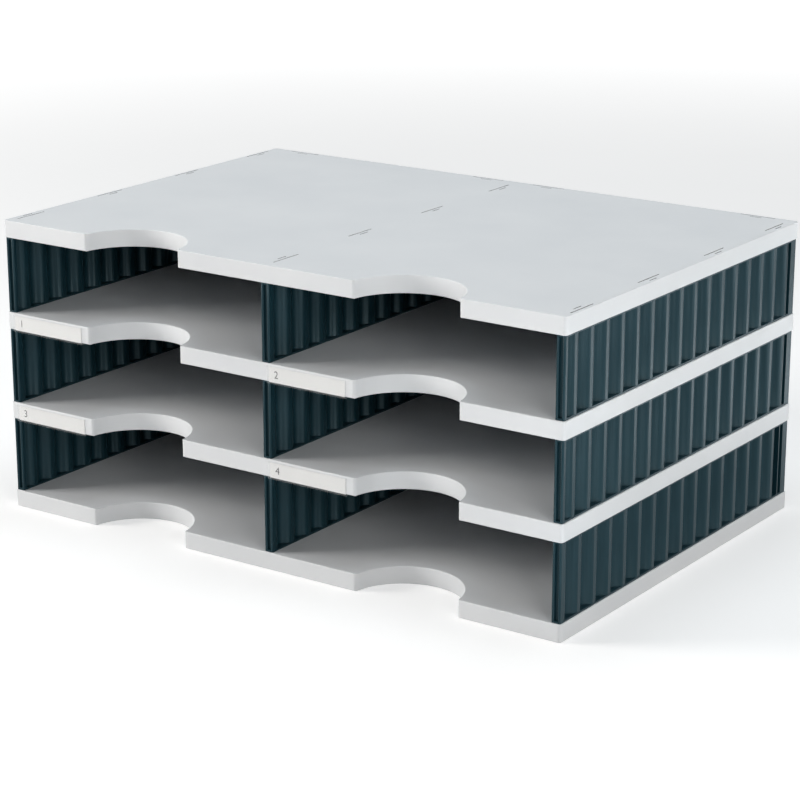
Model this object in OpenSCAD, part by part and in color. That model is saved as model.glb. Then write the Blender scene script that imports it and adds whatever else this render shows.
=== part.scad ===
// Sorting station for letters and papers: four hollow shelves stand on plug-in
// corrugated walls and make six open compartments, two side by side in three tiers.
// Millimetres. The origin is the middle of the footprint, +Z is up and -Y is the front.

/* [Station] */
// Overall width, left to right
station_w = 485; // [430:5:600]
// Overall depth of the shelves, front to back
station_d = 331; // [315:1:400]
// Clear height of one compartment
bay_h = 57; // [45:1:90]

/* [Shelf] */
// Height of a shelf, from its bottom edge to its top skin
shelf_h = 13; // [12:0.5:20]
// Thickness of the top skin
skin_t = 2.5; // [1.8:0.1:3]
// Thickness of the rim that hangs from the skin all round
rim_t = 2.3; // [1.8:0.1:3]
// Radius of the four corners, seen from above
shelf_corner_r = 2.6; // [1:0.2:6]
// Radius of the rounded edges along the top and the bottom of the outline
edge_r = 0.7; // [0.3:0.1:0.9]
// Thickness of the stiffening ribs under the skin
rib_t = 1.5; // [1:0.1:2.5]
// Depth of the stiffening ribs below the skin
rib_h = 6; // [3:0.1:6.2]
// Widest spacing of the stiffening ribs
rib_spacing = 42; // [30:1:60]

/* [Finger notch] */
// Radius of the notch that lets fingers reach the papers
notch_r = 42.3; // [30:0.1:50]
// How far the notch centre lies in front of the shelf
notch_out = 3.5; // [0:0.5:10]
// Radius where the notch meets the front edge
notch_lip_r = 2.6; // [1:0.1:6]

/* [Wall] */
// Thickness of a wall, crest to crest
wall_t = 7; // [6.4:0.1:9]
// How far a shelf stands out past the walls
overhang = 1; // [0.6:0.1:3]
// Thickness of the corrugated sheet
sheet_t = 1.6; // [1:0.1:2.2]
// Distance from one crest to the next on the same face
wave_pitch = 20.1; // [17:0.1:26]
// Distance from the front end of a wall to its first full crest
first_crest = 13.75; // [12:0.05:16]
// Thickness of the flange along the top and bottom of a wall
flange_t = 1.3; // [1:0.1:2.5]
// Corner radius of the flanges
flange_r = 2.2; // [0.5:0.1:3]
// Width of the groove in the end of a post
post_groove_w = 2.8; // [1.5:0.1:3.5]
// Depth of the groove in the front post
front_groove_d = 2; // [1:0.1:4]
// Depth of the groove in the rear post
rear_groove_d = 5.5; // [2:0.1:6]
// Thickness of the plate that closes the sheet at each end
end_plate_t = 1.2; // [0.8:0.1:2]
// Depth of the rear post, front to back
rear_post_d = 8.3; // [7:0.1:12]
// Width of the recess between the sheet and the rear post
rear_recess_w = 4.7; // [2:0.1:6]
// Thickness of the web across that recess
web_t = 1.8; // [1.2:0.1:3]
// Thickness of a rear wall's flat panel
panel_t = 2; // [1.2:0.1:3]
// Number of stiffening ribs on the back of a rear wall
panel_ribs = 7; // [3:1:12]

/* [Plug-in joints] */
// Width of a slot in the skin
slot_w = 0.9; // [0.8:0.05:1.4]
// Length of the slot for a blade
long_slot = 28.6; // [20:0.1:34]
// Length of the slot for a latch
short_slot = 9.5; // [6:0.1:14]
// Distance from the front edge to the first pair of slots
first_station = 23.5; // [20:0.5:30]
// Distance from the last pair of slots to the rear edge
last_station = 28.5; // [24:0.5:40]
// Distance between the two pairs of slots of a rear wall
rear_stations = 182; // [140:1:184]
// Clear width of the channel under the skin
channel_w = 4.4; // [4:0.1:4.8]
// How far blades and latches reach below the skin
blade_below = 3; // [2:0.1:4]
// How far a latch hooks under the skin
latch_hook = 0.35; // [0.2:0.05:0.5]
// Length of a tab on top of a wall
tab_len = 24; // [12:1:34]
// Height of a tab on top of a wall
tab_h = 8; // [4:0.1:9]
// Thickness of a tab's walls
tab_wall = 1.1; // [0.8:0.1:1.6]
// Clearance on each side of a plugged piece
fit = 0.1; // [0.05:0.05:0.2]

/* [Label] */
// Length of a label clip
clip_len = 67; // [50:1:70]
// Thickness of the clip's plastic
clip_t = 1; // [0.8:0.1:1.4]
// How far the front of the clip laps over the end of the wall
clip_lap = 0.8; // [0:0.1:1.5]
// How far the clip's top edge lies below the top of the shelf
clip_drop = 1.3; // [1:0.1:3]
// How far the hook reaches up behind the rim
clip_hook_h = 3; // [2:0.1:3.2]
// Room for the card between the clip and the shelf
card_gap = 0.6; // [0.5:0.05:1.2]
// Thickness of a label card
card_t = 0.3; // [0.2:0.05:0.4]
// How far the card stops short of each end of the clip
card_end = 1; // [0.5:0.1:3]

/* [Hidden] */
$fn = 64;

shelf_colour = [0.82, 0.83, 0.85];
wall_colour = [0.13, 0.20, 0.23];
clip_colour = [0.92, 0.94, 0.96, 0.45];
card_colour = [0.97, 0.97, 0.95];

// Cutters reach this far past what they cut, and fused pieces sink this far into each other
over = 1;
sink = 0.4;

// Corners that an inset would make sharp keep this radius
least_r = 0.2;

// An edge tool's circle is this much larger than the edge, so that it crosses the faces it meets
edge_blend = 1.02;

// Lines that the walls stand on
line_inset = overhang + wall_t / 2;
line_x = [-station_w / 2 + line_inset, 0, station_w / 2 - line_inset];
front_y = -station_d / 2;
rear_line_y = station_d / 2 - line_inset;
tier_h = shelf_h + bay_h;

// The two bays
bay_w = line_x[1] - line_x[0] - wall_t;
bay_x = [(line_x[0] + line_x[1]) / 2, (line_x[1] + line_x[2]) / 2];

// Places of the slots and of the tabs between them
station_spaces = 3;
station_pitch = (station_d - first_station - last_station) / station_spaces;
side_stations = [for (i = [0:station_spaces]) front_y + first_station + i * station_pitch];
side_tabs = [for (i = [1:station_spaces]) (side_stations[i - 1] + side_stations[i]) / 2];
rear_station_offsets = [-rear_stations / 2, rear_stations / 2];
slot_side = (channel_w - slot_w) / 2;

// Blades and latches
foot_depth = skin_t + blade_below;
blade_bevel = 0.8;
hook_h = 0.8;

// Label clips: heights from the bottom edge of the shelf
clip_top = shelf_h - clip_drop;
clip_lip_h = 0.7;
ledge_z = -fit;

// The ledge and the hook start this far along the clip, clear of the end of the wall
clip_relief = clip_lap + 5 * fit;

// One half wave of the sheet is an arc of this radius about its middle line
half_pitch = wave_pitch / 2;
wave_rise = (wall_t - sheet_t) / 2;
wave_r = (pow(half_pitch / 2, 2) + pow(wave_rise, 2)) / (2 * wave_rise);
wave_centre = wave_r - wave_rise;

// Ends of a side wall
wall_len = station_d - 2 * overhang;
wall_front = front_y + overhang;
front_post_d = front_groove_d + end_plate_t;
sheet_end = wall_len - rear_post_d - rear_recess_w;

// Swell of the first full wave of each wall, bottom to top: 1 to the right, -1 to the left
wave_hand = [[1, -1, 1], [-1, -1, -1], [-1, 1, 1]];

// ---- shapes shared by several sub-parts ----

module rounded_rect(w, d, r) {
    square([w - 2 * r, d], center = true);
    square([w, d - 2 * r], center = true);
    for (sx = [-1, 1], sy = [-1, 1])
        translate([sx * (w / 2 - r), sy * (d / 2 - r)])
            circle(r);
}

// A blade that plugs into a slot, its root at z = 0; runs along Y and has bevelled tips
module blade(length) {
    t = slot_w - 2 * fit;
    half = length / 2 - fit;
    rotate([90, 0, 90])
        linear_extrude(t, center = true)
            polygon([
                [-half, sink], [half, sink], [half, -foot_depth + blade_bevel],
                [half - blade_bevel, -foot_depth], [-half + blade_bevel, -foot_depth],
                [-half, -foot_depth + blade_bevel]
            ]);
}

// A latch nib beside the blade, hooked under the skin towards +X
module latch(length) {
    half = slot_w / 2 - fit;
    hook_top = skin_t + fit;
    rotate([90, 0, 0])
        linear_extrude(length - 2 * fit, center = true)
            polygon([
                [-half, sink], [half, sink], [half, -hook_top], [half + latch_hook, -hook_top],
                [half + latch_hook, -hook_top - hook_h], [half, -foot_depth], [-half, -foot_depth]
            ]);
}

// Blade and latch of one station; side says on which side of the line the blade stands
module foot(side) {
    translate([side * slot_side, 0, 0])
        blade(long_slot);
    translate([-side * slot_side, 0, 0])
        mirror([side < 0 ? 1 : 0, 0, 0])
            latch(short_slot);
}

// The pair of slots that takes a foot
module slot_pair(side) {
    for (s = [[side, long_slot], [-side, short_slot]])
        translate([s[0] * slot_side, 0, 0])
            cube([slot_w, s[1], 3 * skin_t], center = true);
}

// A hollow tab, open at the top, that plugs into the channel of the shelf above; runs along Y
module tab() {
    t = channel_w - 2 * fit;
    translate([0, 0, -sink])
        linear_extrude(tab_h + sink)
            difference() {
                square([t, tab_len], center = true);
                square([t - 2 * tab_wall, tab_len - 2 * tab_wall], center = true);
            }
}

// Side of the line on which the blade stands: right at the front, left further back
function blade_side(i) = i == 0 ? 1 : -1;

// Puts children, drawn along Y, on the rear line at x
module on_rear_line(x) {
    translate([x, rear_line_y, 0])
        rotate([0, 0, 90])
            children();
}

// ---- shelf ----

// Cuts one finger notch out of an outline that is drawn inset by that much
module notch_cut(inset) {
    r = notch_r + inset;
    lip_r = max(notch_lip_r - inset, least_r);
    lip_y = inset + lip_r;
    lip_x = sqrt(pow(r + lip_r, 2) - pow(lip_y + notch_out, 2));
    tangent_y = -notch_out + r * (lip_y + notch_out) / (r + lip_r);
    translate([0, -notch_out])
        circle(r, $fn = 128);
    difference() {
        translate([-lip_x, -over])
            square([2 * lip_x, tangent_y + over]);
        for (s = [-1, 1])
            translate([s * lip_x, lip_y])
                circle(lip_r);
    }
}

module shelf_outline(inset) {
    difference() {
        rounded_rect(station_w - 2 * inset, station_d - 2 * inset, max(shelf_corner_r - inset, least_r));
        for (x = bay_x)
            translate([x, front_y])
                notch_cut(inset);
    }
}

// Section of the tool that rounds an edge of a body at x > 0 and z < 0
module edge_section() {
    difference() {
        translate([-over, -edge_r])
            square(over + edge_r);
        translate([edge_r, -edge_r])
            circle(edge_blend * edge_r);
    }
}

// Rounds the edge of a side that lies this far in front of the origin
module side_tool(distance, length) {
    translate([-length / 2 - over, -distance, 0])
        rotate([90, 0, 90])
            linear_extrude(length + 2 * over)
                edge_section();
}

// Rounds the edge of an outer corner, from one angle round to another
module corner_tool(from, to) {
    rotate([0, 0, from])
        rotate_extrude(angle = to - from)
            translate([shelf_corner_r, 0])
                mirror([1, 0])
                    edge_section();
}

// Rounds the edge of a finger notch; it runs out across the lips, where the front's edge takes over
module notch_tool() {
    translate([0, -notch_out, 0])
        rotate_extrude($fn = 128)
            translate([notch_r, 0])
                edge_section();
}

// Rounds every edge at z = 0 of a shelf that hangs below it
module edge_tools() {
    corner_x = station_w / 2 - shelf_corner_r;
    corner_y = station_d / 2 - shelf_corner_r;
    for (turn = [0, 180])
        rotate([0, 0, turn]) {
            side_tool(station_d / 2, station_w);
            translate([corner_x, corner_y, 0])
                corner_tool(0, 90);
            translate([-corner_x, corner_y, 0])
                corner_tool(90, 180);
        }
    for (turn = [90, 270])
        rotate([0, 0, turn])
            side_tool(station_w / 2, station_d);
    for (x = bay_x)
        translate([x, front_y, 0])
            notch_tool();
}

// Stiffening ribs: a grid of equal cells in each bay
module rib_grid() {
    columns = ceil(bay_w / rib_spacing);
    rows = ceil(station_d / rib_spacing);
    for (x = bay_x, i = [1:columns - 1])
        translate([x - bay_w / 2 + i * bay_w / columns, 0])
            square([rib_t, station_d], center = true);
    for (i = [1:rows - 1])
        translate([0, front_y + i * station_d / rows])
            square([station_w, rib_t], center = true);
}

// Strips along the four wall lines, this wide
module wall_lines(w) {
    for (x = line_x)
        translate([x, 0])
            square([w, station_d], center = true);
    translate([0, rear_line_y])
        square([station_w, w], center = true);
}

module shelf_slots() {
    for (x = line_x, i = [0:station_spaces])
        translate([x, side_stations[i], 0])
            slot_pair(blade_side(i));
    for (x = bay_x, dx = rear_station_offsets)
        on_rear_line(x + dx)
            slot_pair(1);
}

module shelf(level) {
    skin_z = shelf_h - skin_t;
    color(shelf_colour)
        translate([0, 0, level * tier_h])
            difference() {
                union() {
                    translate([0, 0, skin_z])
                        linear_extrude(skin_t)
                            shelf_outline(0);
                    linear_extrude(shelf_h)
                        difference() {
                            shelf_outline(0);
                            shelf_outline(rim_t);
                        }
                    translate([0, 0, skin_z - rib_h])
                        linear_extrude(rib_h + sink)
                            intersection() {
                                rib_grid();
                                shelf_outline(rim_t / 2);
                            }
                    linear_extrude(shelf_h - sink)
                        intersection() {
                            wall_lines(channel_w + 2 * rib_t);
                            shelf_outline(rim_t / 2);
                        }
                }
                translate([0, 0, -over])
                    linear_extrude(skin_z + over)
                        intersection() {
                            wall_lines(channel_w);
                            square([station_w - 2 * rim_t, station_d - 2 * rim_t], center = true);
                        }
                translate([0, 0, shelf_h]) {
                    shelf_slots();
                    edge_tools();
                }
                mirror([0, 0, 1])
                    edge_tools();
            }
}

// ---- walls ----

// One half wave, swelling towards +X, with its ends on the middle line of the wall
module half_wave() {
    reach = 2 * wave_r;
    end_x = wave_centre;
    end_y = half_pitch / 2;
    k = reach / norm([end_x, end_y]);
    translate([-wave_centre, 0])
        intersection() {
            difference() {
                circle(wave_r + sheet_t / 2);
                circle(wave_r - sheet_t / 2);
            }
            polygon([[0, 0], [k * end_x, -k * end_y], [k * end_x, k * end_y]]);
        }
}

// Section of the corrugated sheet, from its front plate to its rear plate
module sheet_section() {
    before = ceil(first_crest / half_pitch);
    after = ceil((sheet_end - first_crest) / half_pitch);
    intersection() {
        for (k = [-before:after])
            translate([0, first_crest + k * half_pitch])
                mirror([k % 2 == 0 ? 0 : 1, 0])
                    half_wave();
        translate([-wall_t / 2, front_post_d - end_plate_t / 2])
            square([wall_t, sheet_end - front_post_d]);
    }
}

// Section of a post whose end has a groove; the end is at y = 0 and the post runs towards +Y
module post_section(depth, groove_d) {
    lip = (wall_t - post_groove_w) / 2;
    difference() {
        union() {
            translate([-wall_t / 2, lip / 2])
                square([wall_t, depth - lip / 2]);
            for (s = [-1, 1])
                translate([s * (wall_t - lip) / 2, lip / 2])
                    circle(lip / 2);
        }
        translate([-post_groove_w / 2, -over])
            square([post_groove_w, groove_d + over]);
    }
}

module wall_section() {
    post_section(front_post_d, front_groove_d);
    sheet_section();
    translate([-wall_t / 2, sheet_end - end_plate_t])
        square([wall_t, end_plate_t]);
    translate([-web_t / 2, sheet_end - sink])
        square([web_t, rear_recess_w + 2 * sink]);
    translate([0, wall_len])
        mirror([0, 1])
            post_section(rear_post_d, rear_groove_d);
}

module side_wall(line, tier) {
    color(wall_colour)
        translate([line_x[line], 0, shelf_h + tier * tier_h]) {
            translate([0, wall_front, 0]) {
                mirror([wave_hand[line][tier] < 0 ? 1 : 0, 0, 0])
                    linear_extrude(bay_h)
                        wall_section();
                for (z = [0, bay_h - flange_t])
                    translate([0, wall_len / 2, z])
                        linear_extrude(flange_t)
                            rounded_rect(wall_t, wall_len, flange_r);
            }
            for (i = [0:station_spaces])
                translate([0, side_stations[i], 0])
                    foot(blade_side(i));
            for (y = side_tabs)
                translate([0, y, bay_h])
                    tab();
        }
}

// Runs along Y in its own frame, with its flat face towards the compartment at +X
module rear_panel(length) {
    linear_extrude(bay_h) {
        translate([wall_t / 2 - panel_t, -length / 2])
            square([panel_t, length]);
        for (i = [0:panel_ribs + 1]) {
            y = -length / 2 + i * (length - panel_t) / (panel_ribs + 1);
            translate([-wall_t / 2, y])
                square([wall_t, panel_t]);
        }
    }
    for (z = [0, bay_h - flange_t])
        translate([-wall_t / 2, -length / 2, z])
            cube([wall_t, length, flange_t]);
}

module rear_wall(bay, tier) {
    length = bay_w - 2 * fit;
    color(wall_colour)
        translate([0, 0, shelf_h + tier * tier_h]) {
            on_rear_line(bay_x[bay])
                mirror([1, 0, 0])
                    rear_panel(length);
            for (dx = rear_station_offsets)
                on_rear_line(bay_x[bay] + dx)
                    foot(1);
            on_rear_line(bay_x[bay])
                translate([0, 0, bay_h])
                    tab();
        }
}

// ---- labels ----

// Puts children at the left end of the label's place: x = 0 is the end of the clip,
// y = 0 the front of the shelf and z = 0 its bottom edge
module at_label(bay, level) {
    translate([bay_x[bay] - bay_w / 2 - clip_lap, front_y, level * tier_h])
        children();
}

// Extrudes a section, drawn with y to the right and z up, along X from x0 for that length
module along_x(x0, length) {
    translate([x0, 0, 0])
        rotate([90, 0, 90])
            linear_extrude(length)
                children();
}

module label_clip(bay, level) {
    front = -card_gap - clip_t;
    mid = front + clip_t / 2;
    hook_y = rim_t + fit;
    ledge_mid_z = ledge_z - clip_t / 2;
    color(clip_colour)
        at_label(bay, level) {
            along_x(0, clip_len) {
                translate([front, ledge_mid_z])
                    square([clip_t, clip_top - ledge_mid_z]);
                translate([mid, ledge_z - clip_t])
                    square([-mid, clip_t]);
                translate([mid, ledge_mid_z])
                    circle(clip_t / 2);
                translate([mid, clip_top - clip_lip_h])
                    square([-mid, clip_lip_h]);
            }
            along_x(clip_relief, clip_len - clip_relief) {
                translate([-sink, ledge_z - clip_t])
                    square([hook_y + sink + clip_t / 2, clip_t]);
                translate([hook_y, ledge_mid_z])
                    square([clip_t, clip_hook_h - clip_t / 2 - ledge_mid_z]);
                for (z = [ledge_mid_z, clip_hook_h - clip_t / 2])
                    translate([hook_y + clip_t / 2, z])
                        circle(clip_t / 2);
            }
        }
}

module label_card(bay, level) {
    height = clip_top - clip_lip_h - ledge_z - 2 * fit;
    color(card_colour)
        at_label(bay, level)
            translate([card_end, -(card_gap + card_t) / 2, ledge_z + fit])
                cube([clip_len - 2 * card_end, card_t, height]);
}

shelf(0);  // bottom_shelf
shelf(1);  // lower_shelf
shelf(2);  // upper_shelf
shelf(3);  // top_shelf
side_wall(0, 0);  // left_wall_bottom
side_wall(0, 1);  // left_wall_middle
side_wall(0, 2);  // left_wall_top
side_wall(1, 0);  // centre_wall_bottom
side_wall(1, 1);  // centre_wall_middle
side_wall(1, 2);  // centre_wall_top
side_wall(2, 0);  // right_wall_bottom
side_wall(2, 1);  // right_wall_middle
side_wall(2, 2);  // right_wall_top
rear_wall(0, 0);  // rear_wall_left_bottom
rear_wall(0, 1);  // rear_wall_left_middle
rear_wall(0, 2);  // rear_wall_left_top
rear_wall(1, 0);  // rear_wall_right_bottom
rear_wall(1, 1);  // rear_wall_right_middle
rear_wall(1, 2);  // rear_wall_right_top
label_clip(0, 1);  // label_clip_left_lower
label_clip(1, 1);  // label_clip_right_lower
label_clip(0, 2);  // label_clip_left_upper
label_clip(1, 2);  // label_clip_right_upper
label_card(0, 1);  // label_card_left_lower
label_card(1, 1);  // label_card_right_lower
label_card(0, 2);  // label_card_left_upper
label_card(1, 2);  // label_card_right_upper
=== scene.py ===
"""Looks of a letter sorting station: grey shelves on dark corrugated walls, with clear label clips."""
from math import atan2, cos, radians, sin

import bpy
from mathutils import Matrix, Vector


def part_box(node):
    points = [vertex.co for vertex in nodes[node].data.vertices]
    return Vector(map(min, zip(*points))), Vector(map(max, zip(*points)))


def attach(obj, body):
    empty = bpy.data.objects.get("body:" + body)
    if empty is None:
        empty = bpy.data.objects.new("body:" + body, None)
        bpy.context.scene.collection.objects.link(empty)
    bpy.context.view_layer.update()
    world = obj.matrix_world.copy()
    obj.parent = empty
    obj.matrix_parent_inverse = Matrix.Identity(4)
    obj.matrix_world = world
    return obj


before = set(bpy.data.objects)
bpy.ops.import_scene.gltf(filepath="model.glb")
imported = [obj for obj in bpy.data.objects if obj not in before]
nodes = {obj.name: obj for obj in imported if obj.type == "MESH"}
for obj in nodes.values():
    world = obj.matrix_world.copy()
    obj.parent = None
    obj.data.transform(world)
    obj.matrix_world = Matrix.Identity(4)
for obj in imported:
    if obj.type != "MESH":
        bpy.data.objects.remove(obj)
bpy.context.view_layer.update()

MM = 0.001

# ---- edges of the mouldings ----

WALL_EDGE = 0.25 * MM
CLIP_EDGE = 0.15 * MM
EDGE_SEGMENTS = 2
WELD_DISTANCE = 0.002 * MM
SHARP_ANGLE = radians(35)


def round_edges(obj, radius):
    """Joins the faces that meet and rounds the sharp edges between them."""
    weld = obj.modifiers.new("weld", "WELD")
    weld.merge_threshold = WELD_DISTANCE
    bevel = obj.modifiers.new("edge", "BEVEL")
    bevel.width = radius
    bevel.segments = EDGE_SEGMENTS
    bevel.limit_method = "ANGLE"
    bevel.angle_limit = SHARP_ANGLE
    bevel.harden_normals = True


# ---- materials ----

# Painted shade in recesses: how far it looks for cover, and the colours from fully hidden to open
RECESS_REACH = 1.5 * MM
PAINTED_RECESS_SHADE = (0.03, 0.03, 0.03)
OPEN_SHADE = (1, 1, 1)
NOISE_LOW = 0.3
NOISE_HIGH = 0.7


def new_material(name):
    """A material with its node tree, its Principled shader and a coordinate node."""
    material = bpy.data.materials.new(name)
    material.use_nodes = True
    tree = material.node_tree
    shader = tree.nodes["Principled BSDF"]
    coords = tree.nodes.new("ShaderNodeTexCoord")
    return material, tree, shader, coords


def noise(tree, coords, scale, detail=2.0, stretch=(1, 1, 1)):
    """Noise in the object's own metres; scale is in features per metre."""
    mapping = tree.nodes.new("ShaderNodeMapping")
    mapping.inputs["Scale"].default_value = stretch
    texture = tree.nodes.new("ShaderNodeTexNoise")
    texture.inputs["Scale"].default_value = scale
    texture.inputs["Detail"].default_value = detail
    tree.links.new(coords.outputs["Object"], mapping.inputs["Vector"])
    tree.links.new(mapping.outputs["Vector"], texture.inputs["Vector"])
    return texture.outputs["Fac"]


def ramp(tree, value, low, high, start=NOISE_LOW, end=NOISE_HIGH):
    """Maps a value to a colour, from low at start to high at end."""
    node = tree.nodes.new("ShaderNodeValToRGB")
    node.color_ramp.elements[0].position = start
    node.color_ramp.elements[0].color = (*low, 1)
    node.color_ramp.elements[1].position = end
    node.color_ramp.elements[1].color = (*high, 1)
    tree.links.new(value, node.inputs["Fac"])
    return node.outputs["Color"]


def spread(tree, value, low, high):
    """Maps a noise value to a number between low and high."""
    node = tree.nodes.new("ShaderNodeMapRange")
    node.inputs["From Min"].default_value = NOISE_LOW
    node.inputs["From Max"].default_value = NOISE_HIGH
    node.inputs["To Min"].default_value = low
    node.inputs["To Max"].default_value = high
    tree.links.new(value, node.inputs["Value"])
    return node.outputs["Result"]


def bump(tree, shader, heights):
    """Chains bumps, each given as (height, strength, distance in metres), into the shader."""
    normal = None
    for height, strength, distance in heights:
        node = tree.nodes.new("ShaderNodeBump")
        node.inputs["Strength"].default_value = strength
        node.inputs["Distance"].default_value = distance
        tree.links.new(height, node.inputs["Height"])
        if normal:
            tree.links.new(normal, node.inputs["Normal"])
        normal = node.outputs["Normal"]
    tree.links.new(normal, shader.inputs["Normal"])


def shade_recesses(tree, colour):
    """Darkens a colour in the piece's own slots and inner corners with painted shade, deeper where the
    piece hides more of its surroundings.
    """
    recess = tree.nodes.new("ShaderNodeAmbientOcclusion")
    recess.only_local = True
    recess.inputs["Distance"].default_value = RECESS_REACH
    blend = tree.nodes.new("ShaderNodeMix")
    blend.data_type = "RGBA"
    blend.blend_type = "MULTIPLY"
    blend.inputs["Factor"].default_value = 1
    tree.links.new(colour, blend.inputs["A"])
    shade = ramp(tree, recess.outputs["AO"], PAINTED_RECESS_SHADE, OPEN_SHADE, start=0.45, end=0.85)
    tree.links.new(shade, blend.inputs["B"])
    return blend.outputs["Result"]


def shelf_plastic():
    """Light cool grey, spark-eroded grain, with painted shade in its slots and inner corners."""
    material, tree, shader, coords = new_material("shelf_plastic")
    cloud = noise(tree, coords, scale=14, detail=3)
    grain = noise(tree, coords, scale=2600)
    colour = ramp(tree, cloud, (0.655, 0.675, 0.695), (0.695, 0.712, 0.728))
    # The base colour carries painted shade in the slots and inner corners
    tree.links.new(shade_recesses(tree, colour), shader.inputs["Base Color"])
    tree.links.new(spread(tree, grain, 0.46, 0.58), shader.inputs["Roughness"])
    shader.inputs["Specular IOR Level"].default_value = 0.4
    bump(tree, shader, [(grain, 0.25, 0.03 * MM)])
    return material


def wall_plastic():
    """Anthracite with a petrol cast, satin, with faint draw marks along the height."""
    material, tree, shader, coords = new_material("wall_plastic")
    cloud = noise(tree, coords, scale=30, detail=3)
    drawn = noise(tree, coords, scale=900, stretch=(1, 1, 0.02))
    grain = noise(tree, coords, scale=2200)
    colour = ramp(tree, cloud, (0.005, 0.023, 0.032), (0.007, 0.028, 0.038))
    tree.links.new(colour, shader.inputs["Base Color"])
    tree.links.new(spread(tree, drawn, 0.33, 0.38), shader.inputs["Roughness"])
    shader.inputs["Specular IOR Level"].default_value = 0.26
    shader.inputs["Specular Tint"].default_value = (0.7, 0.92, 1, 1)
    bump(tree, shader, [(drawn, 0.12, 0.03 * MM), (grain, 0.12, 0.02 * MM)])
    return material


def clip_plastic():
    """Clear moulding with a milky cast, very lightly scuffed."""
    material, tree, shader, coords = new_material("clip_plastic")
    scuff = noise(tree, coords, scale=160, detail=4, stretch=(0.3, 1, 1))
    colour = ramp(tree, scuff, (0.84, 0.85, 0.86), (0.89, 0.9, 0.91))
    tree.links.new(colour, shader.inputs["Base Color"])
    tree.links.new(spread(tree, scuff, 0.12, 0.22), shader.inputs["Roughness"])
    shader.inputs["IOR"].default_value = 1.49
    shader.inputs["Alpha"].default_value = 0.07
    bump(tree, shader, [(scuff, 0.05, 0.02 * MM)])
    return material


def card():
    """White card with the fibre of smooth paper."""
    material, tree, shader, coords = new_material("card")
    fibre = noise(tree, coords, scale=1500, detail=5, stretch=(0.5, 1, 1))
    colour = ramp(tree, fibre, (0.73, 0.735, 0.73), (0.78, 0.783, 0.776))
    tree.links.new(colour, shader.inputs["Base Color"])
    tree.links.new(spread(tree, fibre, 0.7, 0.85), shader.inputs["Roughness"])
    bump(tree, shader, [(fibre, 0.3, 0.02 * MM)])
    return material


def ink():
    """Dark grey print, a little uneven."""
    material, tree, shader, coords = new_material("ink")
    cover = noise(tree, coords, scale=3000, detail=3)
    colour = ramp(tree, cover, (0.02, 0.022, 0.027), (0.04, 0.043, 0.05))
    tree.links.new(colour, shader.inputs["Base Color"])
    tree.links.new(spread(tree, cover, 0.5, 0.7), shader.inputs["Roughness"])
    bump(tree, shader, [(cover, 0.1, 0.01 * MM)])
    return material


# For a word in a node's name, the material and the radius that its edges are rounded to;
# shelves and cards keep the edges they come with
FINISHES = {
    "shelf": (shelf_plastic(), None),
    "wall": (wall_plastic(), WALL_EDGE),
    "label_clip": (clip_plastic(), CLIP_EDGE),
    "label_card": (card(), None),
}


def finish_key(name):
    """The key of FINISHES that a node's name holds."""
    return next(key for key in FINISHES if key in name)


for name, node in nodes.items():
    material, radius = FINISHES[finish_key(name)]
    node.data.materials.clear()
    node.data.materials.append(material)
    if radius:
        round_edges(node, radius)

# ---- plain numerals on the cards ----

NUMERAL_HEIGHT = 5.4 * MM
NUMERAL_SHARE = 0.7  # height of a numeral in the font's size
NUMERAL_INSET = 4.5 * MM
INK_GAP = 0.02 * MM
INK_THICKNESS = 0.01 * MM
PLACES = ["left_upper", "right_upper", "left_lower", "right_lower"]

ink_material = ink()
for number, place in enumerate(PLACES, start=1):
    low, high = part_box("label_card_" + place)
    curve = bpy.data.curves.new("numeral_" + place, "FONT")
    curve.body = str(number)
    curve.size = NUMERAL_HEIGHT / NUMERAL_SHARE
    curve.extrude = INK_THICKNESS / 2
    curve.align_y = "CENTER"
    curve.materials.append(ink_material)
    numeral = bpy.data.objects.new("numeral_" + place, curve)
    bpy.context.scene.collection.objects.link(numeral)
    numeral.rotation_euler = (radians(90), 0, 0)
    middle = (low.z + high.z) / 2
    numeral.location = (low.x + NUMERAL_INSET, low.y - INK_GAP - INK_THICKNESS / 2, middle)
    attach(numeral, "card_" + place)

# ---- floor, light and camera ----

FLOOR_HALF = 6.0
FLOOR_COLOUR = 0.78
FLOOR_CLOUD = 0.01
FLOOR_LIFT_NEAR = 0.37
FLOOR_LIFT_FAR = 1.0
LIFT_START = 0.9
LIFT_END = 3.0
SEEN_WHITE = 1.0
WORLD_FILL = 0.12
WARM_WHITE = (1.0, 0.968, 0.935)
COOL_WHITE = (0.88, 0.955, 1.0)
FRONT_SIDE = 0.9
TOP_SIDE = 1.5
LAMP_AIM = (0, 0, 0.1)
POOL_HEIGHT = 1.2
POOL_BLEND = 0.35


def seen_mask(tree):
    """1 for rays from the camera, from a reflection or through clear plastic."""
    path = tree.nodes.new("ShaderNodeLightPath")
    total = path.outputs["Is Camera Ray"]
    for kind in ("Is Glossy Ray", "Is Transmission Ray"):
        add = tree.nodes.new("ShaderNodeMath")
        add.operation = "MAXIMUM"
        tree.links.new(total, add.inputs[0])
        tree.links.new(path.outputs[kind], add.inputs[1])
        total = add.outputs[0]
    return total


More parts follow.
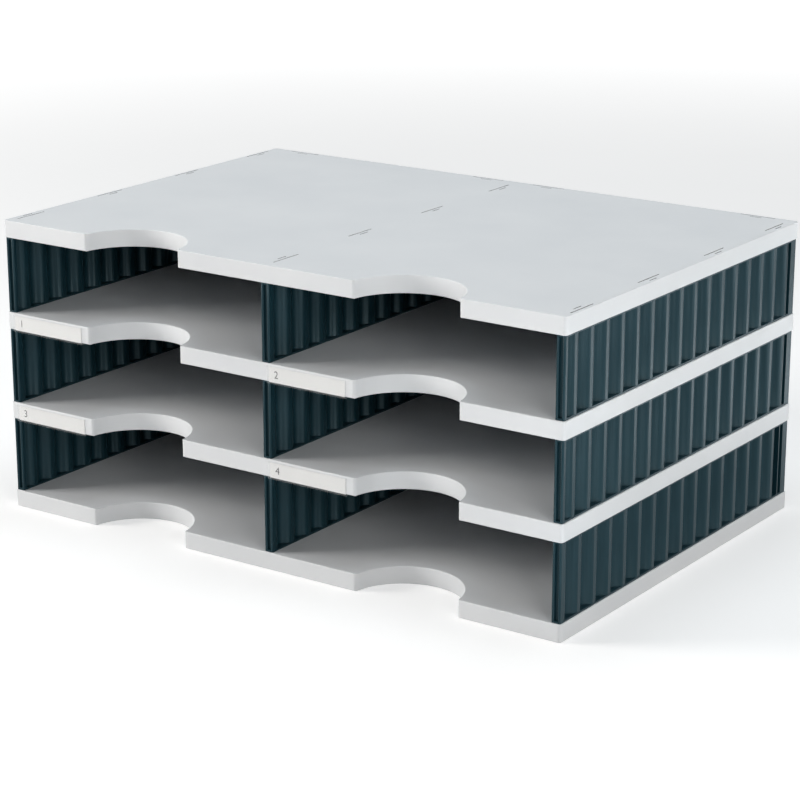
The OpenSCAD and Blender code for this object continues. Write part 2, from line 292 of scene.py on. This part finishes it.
def make_floor():
    """A pale floor that keeps the shadow and fades to white far from the object."""
    mesh = bpy.data.meshes.new("floor")
    h = FLOOR_HALF
    mesh.from_pydata([(-h, -h, 0), (h, -h, 0), (h, h, 0), (-h, h, 0)], [], [(0, 1, 2, 3)])
    floor = bpy.data.objects.new("floor", mesh)
    bpy.context.scene.collection.objects.link(floor)
    material, tree, shader, coords = new_material("floor")
    shade = noise(tree, coords, scale=3)
    low, high = FLOOR_COLOUR - FLOOR_CLOUD, FLOOR_COLOUR + FLOOR_CLOUD
    colour = ramp(tree, shade, (low, low, low), (high, high, high))
    tree.links.new(colour, shader.inputs["Base Color"])
    shader.inputs["Roughness"].default_value = 0.9
    shader.inputs["Specular IOR Level"].default_value = 0.0
    lift = tree.nodes.new("ShaderNodeEmission")
    distance = tree.nodes.new("ShaderNodeVectorMath")
    distance.operation = "LENGTH"
    tree.links.new(coords.outputs["Object"], distance.inputs[0])
    grade = tree.nodes.new("ShaderNodeMapRange")
    grade.interpolation_type = "SMOOTHSTEP"
    grade.inputs["From Min"].default_value = LIFT_START
    grade.inputs["From Max"].default_value = LIFT_END
    grade.inputs["To Min"].default_value = FLOOR_LIFT_NEAR
    grade.inputs["To Max"].default_value = FLOOR_LIFT_FAR
    tree.links.new(distance.outputs["Value"], grade.inputs["Value"])
    strength = tree.nodes.new("ShaderNodeMath")
    strength.operation = "MULTIPLY"
    tree.links.new(grade.outputs["Result"], strength.inputs[0])
    tree.links.new(seen_mask(tree), strength.inputs[1])
    tree.links.new(strength.outputs[0], lift.inputs["Strength"])
    both = tree.nodes.new("ShaderNodeAddShader")
    tree.links.new(shader.outputs[0], both.inputs[0])
    tree.links.new(lift.outputs[0], both.inputs[1])
    tree.links.new(both.outputs[0], tree.nodes["Material Output"].inputs["Surface"])
    mesh.materials.append(material)


def make_world():
    """White to the eye, and a low even fill for everything else."""
    world = bpy.data.worlds.new("studio")
    bpy.context.scene.world = world
    world.use_nodes = True
    tree = world.node_tree
    background = tree.nodes["Background"]
    background.inputs["Color"].default_value = (1, 1, 1, 1)
    level = tree.nodes.new("ShaderNodeMapRange")
    level.inputs["To Min"].default_value = WORLD_FILL
    level.inputs["To Max"].default_value = SEEN_WHITE
    tree.links.new(seen_mask(tree), level.inputs["Value"])
    tree.links.new(level.outputs["Result"], background.inputs["Strength"])


def softbox(name, place, side, power, colour):
    """A square lamp, its side in metres and its power in watts, turned to the object."""
    data = bpy.data.lights.new(name, "AREA")
    data.size = side
    data.energy = power
    data.color = colour
    lamp = bpy.data.objects.new(name, data)
    bpy.context.scene.collection.objects.link(lamp)
    lamp.location = place
    lamp.rotation_euler = (Vector(LAMP_AIM) - Vector(place)).to_track_quat("-Z", "Y").to_euler()


def floor_pool(name, centre, radius, power):
    """A spot above centre that lights a round patch of the floor, which the walls mirror."""
    data = bpy.data.lights.new(name, "SPOT")
    data.energy = power
    data.color = COOL_WHITE
    data.spot_size = 2 * atan2(radius, POOL_HEIGHT)
    data.spot_blend = POOL_BLEND
    lamp = bpy.data.objects.new(name, data)
    bpy.context.scene.collection.objects.link(lamp)
    lamp.location = (*centre, POOL_HEIGHT)


CAMERA_PLACE = (1.0292, -1.4855, 0.6340)
CAMERA_AZIMUTH = radians(34.73)
CAMERA_ELEVATION = radians(16.91)
SENSOR_WIDTH = 36.0
FOCAL_LENGTH = 112.8


def make_camera():
    """The camera of the photograph: its place, direction and angle of view."""
    data = bpy.data.cameras.new("camera")
    data.sensor_width = SENSOR_WIDTH
    data.lens = FOCAL_LENGTH
    camera = bpy.data.objects.new("camera", data)
    bpy.context.scene.collection.objects.link(camera)
    camera.location = CAMERA_PLACE
    look = Vector((
        -sin(CAMERA_AZIMUTH) * cos(CAMERA_ELEVATION),
        cos(CAMERA_AZIMUTH) * cos(CAMERA_ELEVATION),
        -sin(CAMERA_ELEVATION),
    ))
    camera.rotation_euler = look.to_track_quat("-Z", "Y").to_euler()
    bpy.context.scene.camera = camera


make_floor()
make_world()
softbox("key", place=(1.88, -1.32, 0.8), side=FRONT_SIDE, power=19, colour=WARM_WHITE)
softbox("fill", place=(-1.88, -1.32, 0.8), side=FRONT_SIDE, power=45, colour=WARM_WHITE)
softbox("side", place=(2.2, 0.5, 0.6), side=FRONT_SIDE, power=7, colour=WARM_WHITE)
softbox("top", place=(0.1, 0.2, 2.0), side=TOP_SIDE, power=19, colour=COOL_WHITE)
floor_pool("rear_pool", centre=(0.64, 0.43), radius=0.34, power=172)
floor_pool("front_pool", centre=(0.47, -0.36), radius=0.24, power=122)
make_camera()
bpy.context.scene.view_settings.view_transform = "Standard"
